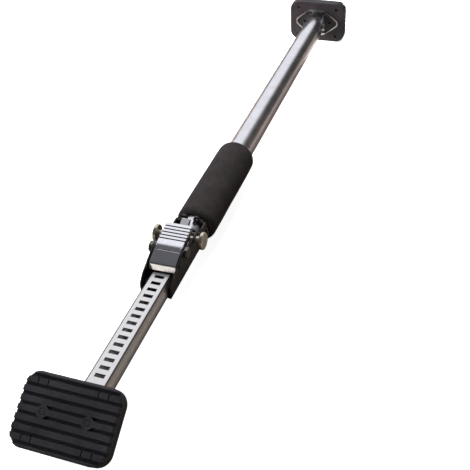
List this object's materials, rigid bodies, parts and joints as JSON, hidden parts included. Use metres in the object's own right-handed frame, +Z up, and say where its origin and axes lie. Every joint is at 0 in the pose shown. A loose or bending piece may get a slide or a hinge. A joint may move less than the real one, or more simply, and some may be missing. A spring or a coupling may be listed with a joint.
{
  "type": "ratcheting telescopic load bar",
  "caption": "Telescopic bar with a slotted inner bar, ratchet lever, foam grip and a swivelling ribbed rubber foot at each end, for wedging between two surfaces.",
  "frame": {"origin": "bottom centre of the whole bar as stored: in the bar's middle plane, halfway between its ends, level with the far pad's lower edge", "axes": "+X along the bar from the slotted inner bar's foot to the outer tube's foot, +Y across the bar along the pins, +Z up through the slotted flat and the lever"},
  "size_m": [1.0674, 0.108, 0.0865],
  "materials": {
    "satin_steel": "satin chrome-plated steel tube with faint lengthwise polish lines",
    "zinc_bar": "bright zinc-plated steel, pressed flat and punched",
    "black_foam": "closed-cell foam with a fine open grain, matte",
    "black_paint": "black paint, semi-gloss",
    "black_plastic": "moulded nylon, matte",
    "bright_plate": "bright chrome plate on pressed steel",
    "dark_zinc": "dark zinc plate",
    "pawl_steel": "bright plate",
    "spring_steel": "drawn spring wire",
    "nickel_knob": "warm nickel plate, satin",
    "foot_zinc": "bluish zinc plate",
    "black_rubber": "moulded rubber, matte with a fine grain"
  },
  "bodies": {
    "tube": {"outer_tube": "satin_steel", "foam_grip": "black_foam", "ratchet_housing": "black_paint", "nose_bushing": "black_plastic", "nose_cover": "bright_plate", "nose_cover_pin": "black_paint", "lever_pivot_bolt": "dark_zinc", "lever_pivot_nut": "dark_zinc", "lever_pivot_washers": "dark_zinc", "holding_pawl_pin": "dark_zinc", "pawl_spring": "spring_steel", "far_foot_bolt": "foot_zinc", "far_foot_nut": "foot_zinc"},
    "bar": {"inner_bar": "zinc_bar", "rear_guide": "black_plastic", "near_foot_bolt": "foot_zinc", "near_foot_nut": "foot_zinc"},
    "near_foot": {"near_foot_bracket": "foot_zinc", "near_foot_rivets": "foot_zinc", "near_foot_pad": "black_rubber"},
    "far_foot": {"far_foot_bracket": "foot_zinc", "far_foot_rivets": "foot_zinc", "far_foot_pad": "black_rubber"},
    "lever": {"ratchet_lever": "bright_plate", "drive_pawl_pin": "pawl_steel"},
    "drive_pawl": {"drive_pawl": "pawl_steel"},
    "release": {"holding_pawl": "pawl_steel", "release_shaft": "nickel_knob", "release_knob_left": "nickel_knob", "release_knob_right": "nickel_knob"}
  },
  "joints": [
    {"name": "bar_slide", "type": "slide", "parent": "tube", "child": "bar", "axis": [1, 0, 0], "range_m": [-0.437, 0.138]},
    {"name": "near_foot_hinge", "type": "hinge", "parent": "bar", "child": "near_foot", "pos_m": [-0.48175, 0, 0.0345], "axis": [0, 1, 0], "range_deg": [-123, 7]},
    {"name": "far_foot_hinge", "type": "hinge", "parent": "tube", "child": "far_foot", "pos_m": [0.49525, 0, 0.0385], "axis": [0, 1, 0], "range_deg": [-65, 65]},
    {"name": "lever_hinge", "type": "hinge", "parent": "tube", "child": "lever", "pos_m": [-0.23475, 0, 0.0635], "axis": [0, -1, 0], "range_deg": [0, 78]},
    {"name": "drive_pawl_hinge", "type": "hinge", "parent": "lever", "child": "drive_pawl", "pos_m": [-0.23925, 0, 0.055], "axis": [0, -1, 0], "range_deg": [-79, 1]},
    {"name": "release_hinge", "type": "hinge", "parent": "tube", "child": "release", "pos_m": [-0.19075, 0, 0.0565], "axis": [0, -1, 0], "range_deg": [0, 13.5]}
  ],
  "couplings": [
    {"joint": "drive_pawl_hinge", "follows": "lever_hinge", "ratio": -1}
  ]
}
